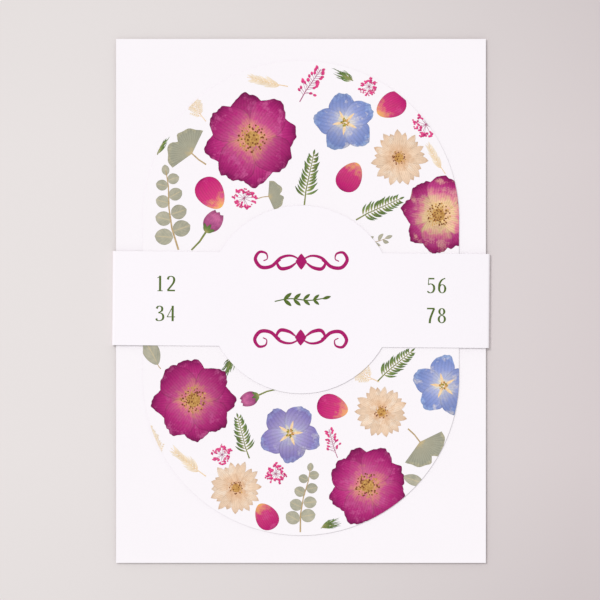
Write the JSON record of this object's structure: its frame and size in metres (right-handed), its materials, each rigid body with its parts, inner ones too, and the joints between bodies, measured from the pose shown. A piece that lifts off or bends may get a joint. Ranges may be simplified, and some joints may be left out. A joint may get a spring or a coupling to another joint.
{
  "type": "wedding invitation",
  "caption": "Rectangular backing card with a round-ended flower-print card on it, held by a paper belly band with a round name plate.",
  "frame": {"origin": "under the middle of the backing card, on the surface that the belly band lies on", "axes": "+X across the card to the right, +Y up the card as it is read, +Z out of the printed faces"},
  "size_m": [0.1226, 0.17, 0.0018],
  "materials": {
    "card_stock": "matt uncoated, very smooth",
    "band_paper": "matt uncoated, very smooth",
    "glue": "clear dried glue",
    "magenta_ink": "matt print",
    "rose_ink": "matt print",
    "mauve_ink": "matt print",
    "violet_ink": "matt print",
    "peach_ink": "matt print",
    "cream_ink": "matt print",
    "ochre_ink": "matt print",
    "sage_ink": "matt print",
    "green_ink": "matt print",
    "title_ink": "matt print",
    "numeral_ink": "matt print"
  },
  "bodies": {
    "cards": {"base_card": "card_stock", "flower_card": "card_stock", "cosmos_1": "magenta_ink", "cosmos_1_eye": "ochre_ink", "cosmos_2": "magenta_ink", "cosmos_2_eye": "ochre_ink", "periwinkle_1": "violet_ink", "daisy_1": "peach_ink", "daisy_1_eye": "ochre_ink", "eucalyptus_1": "sage_ink", "fan_leaf_1": "sage_ink", "fern_1": "green_ink", "fern_2": "green_ink", "heather_1": "rose_ink", "grass_1": "cream_ink", "grass_2": "cream_ink", "loose_petal_1": "rose_ink", "loose_petal_2": "rose_ink", "loose_petal_3": "rose_ink", "bud_1": "mauve_ink", "fan_leaf_2": "sage_ink", "cosmos_3": "magenta_ink", "cosmos_3_eye": "ochre_ink", "cosmos_4": "magenta_ink", "cosmos_4_eye": "ochre_ink", "periwinkle_2": "violet_ink", "periwinkle_3": "violet_ink", "daisy_2": "peach_ink", "daisy_2_eye": "ochre_ink", "daisy_3": "peach_ink", "daisy_3_eye": "ochre_ink", "eucalyptus_2": "sage_ink", "fan_leaf_3": "sage_ink", "fern_3": "green_ink", "fern_4": "green_ink", "loose_petal_4": "rose_ink", "loose_petal_5": "rose_ink", "heather_2": "rose_ink", "grass_3": "cream_ink", "bud_2": "mauve_ink", "eucalyptus_3": "sage_ink", "periwinkle_4": "violet_ink", "fan_leaf_4": "sage_ink"},
    "band": {"band_front": "band_paper", "band_left_fold": "band_paper", "band_right_fold": "band_paper", "band_outer_lap": "band_paper", "band_inner_lap": "band_paper", "glue_strip": "glue", "numeral_1": "numeral_ink", "numeral_2": "numeral_ink", "numeral_3": "numeral_ink", "numeral_4": "numeral_ink", "numeral_5": "numeral_ink", "numeral_6": "numeral_ink", "numeral_7": "numeral_ink", "numeral_8": "numeral_ink", "top_flourish": "title_ink", "bottom_flourish": "title_ink", "middle_sprig": "numeral_ink"}
  },
  "joints": [
    {"name": "band_slide", "type": "slide", "parent": "cards", "child": "band", "axis": [0, 1, 0], "range_m": [-0.12, 0.12]}
  ]
}
